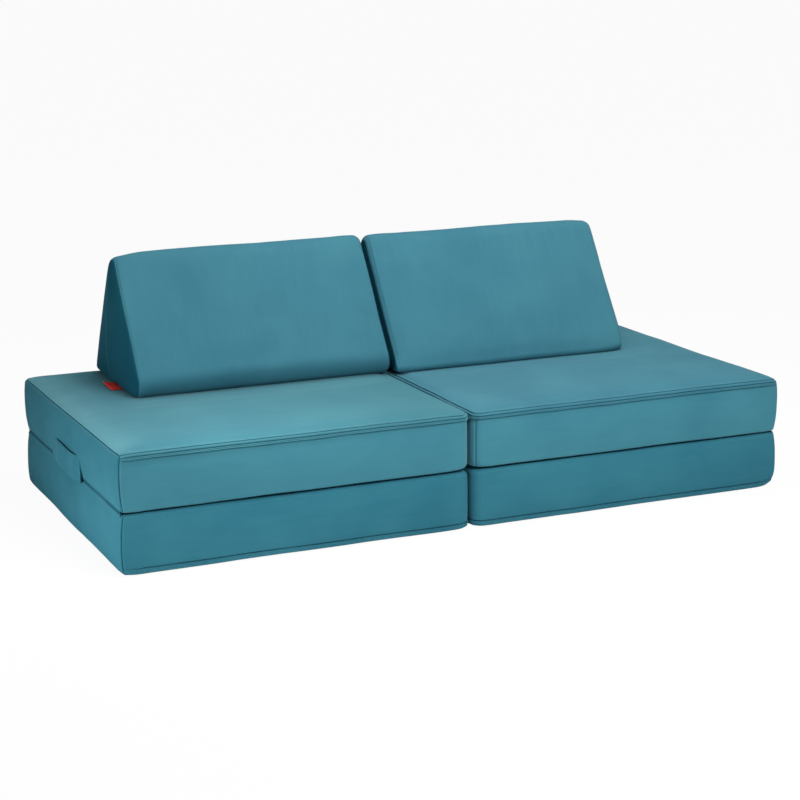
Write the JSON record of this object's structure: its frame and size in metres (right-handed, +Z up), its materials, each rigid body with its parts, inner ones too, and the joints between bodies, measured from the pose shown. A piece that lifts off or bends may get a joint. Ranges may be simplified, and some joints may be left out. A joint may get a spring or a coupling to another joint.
{
  "type": "folding foam play sofa",
  "caption": "Low foam sofa of folded mats side by side with wedge cushion backrests, in zipped microvelvet covers, with carry handles at the outer ends.",
  "frame": {"origin": "centre of the bounding box at floor level, under the middle of the sofa", "axes": "+X along the length towards the right unit, +Y to the back, +Z up"},
  "size_m": [1.7434, 0.863, 0.6191],
  "materials": {
    "microvelvet": "short brushed pile, satin sheen",
    "foam": "open cell polyurethane foam",
    "zip": "nylon coil on woven tape",
    "zip_slider": "painted zinc",
    "side_tag": "woven ribbon, bare"
  },
  "bodies": {
    "left_base": {"left_base_cover": "microvelvet", "left_base_foam": "foam", "left_base_zip": "zip", "left_base_zip_flap": "microvelvet", "left_fold_hinge": "microvelvet"},
    "left_base_slider": {"left_base_zip_slider": "zip_slider"},
    "left_seat": {"left_seat_cover": "microvelvet", "left_seat_foam": "foam", "left_seat_zip": "zip", "left_seat_zip_flap": "microvelvet", "left_carry_handle": "microvelvet"},
    "left_seat_slider": {"left_seat_zip_slider": "zip_slider"},
    "left_wedge": {"left_wedge_cover": "microvelvet", "left_wedge_foam": "foam", "left_wedge_zip": "zip", "left_wedge_zip_flap": "microvelvet", "left_wedge_side_tag": "side_tag"},
    "left_wedge_slider": {"left_wedge_zip_slider": "zip_slider"},
    "right_base": {"right_base_cover": "microvelvet", "right_base_foam": "foam", "right_base_zip": "zip", "right_base_zip_flap": "microvelvet", "right_fold_hinge": "microvelvet"},
    "right_base_slider": {"right_base_zip_slider": "zip_slider"},
    "right_seat": {"right_seat_cover": "microvelvet", "right_seat_foam": "foam", "right_seat_zip": "zip", "right_seat_zip_flap": "microvelvet", "right_carry_handle": "microvelvet"},
    "right_seat_slider": {"right_seat_zip_slider": "zip_slider"},
    "right_wedge": {"right_wedge_cover": "microvelvet", "right_wedge_foam": "foam", "right_wedge_zip": "zip", "right_wedge_zip_flap": "microvelvet"},
    "right_wedge_slider": {"right_wedge_zip_slider": "zip_slider"}
  },
  "joints": [
    {"name": "left_fold", "type": "hinge", "parent": "left_base", "child": "left_seat", "pos_m": [-0.872, 0, 0.143], "axis": [0, -1, 0], "range_deg": [0, 180], "deforming": ["left_fold_hinge"]},
    {"name": "right_fold", "type": "hinge", "parent": "right_base", "child": "right_seat", "pos_m": [0.872, 0, 0.143], "axis": [0, 1, 0], "range_deg": [0, 180], "deforming": ["right_fold_hinge"]},
    {"name": "right_unit_slide", "type": "slide", "parent": "left_base", "child": "right_base", "axis": [1, 0, 0], "range_m": [0, 0.5]},
    {"name": "left_wedge_lift", "type": "slide", "parent": "left_seat", "child": "left_wedge", "axis": [0, 0, 1], "range_m": [0, 0.4]},
    {"name": "right_wedge_lift", "type": "slide", "parent": "right_seat", "child": "right_wedge", "axis": [0, 0, 1], "range_m": [0, 0.4]},
    {"name": "left_base_zip_run", "type": "slide", "parent": "left_base", "child": "left_base_slider", "axis": [1, 0, 0], "range_m": [0, 0.77]},
    {"name": "left_seat_zip_run", "type": "slide", "parent": "left_seat", "child": "left_seat_slider", "axis": [1, 0, 0], "range_m": [0, 0.77]},
    {"name": "left_wedge_zip_run", "type": "slide", "parent": "left_wedge", "child": "left_wedge_slider", "axis": [1, 0, 0], "range_m": [0, 0.58]},
    {"name": "right_base_zip_run", "type": "slide", "parent": "right_base", "child": "right_base_slider", "axis": [-1, 0, 0], "range_m": [0, 0.77]},
    {"name": "right_seat_zip_run", "type": "slide", "parent": "right_seat", "child": "right_seat_slider", "axis": [-1, 0, 0], "range_m": [0, 0.77]},
    {"name": "right_wedge_zip_run", "type": "slide", "parent": "right_wedge", "child": "right_wedge_slider", "axis": [1, 0, 0], "range_m": [0, 0.58]}
  ]
}
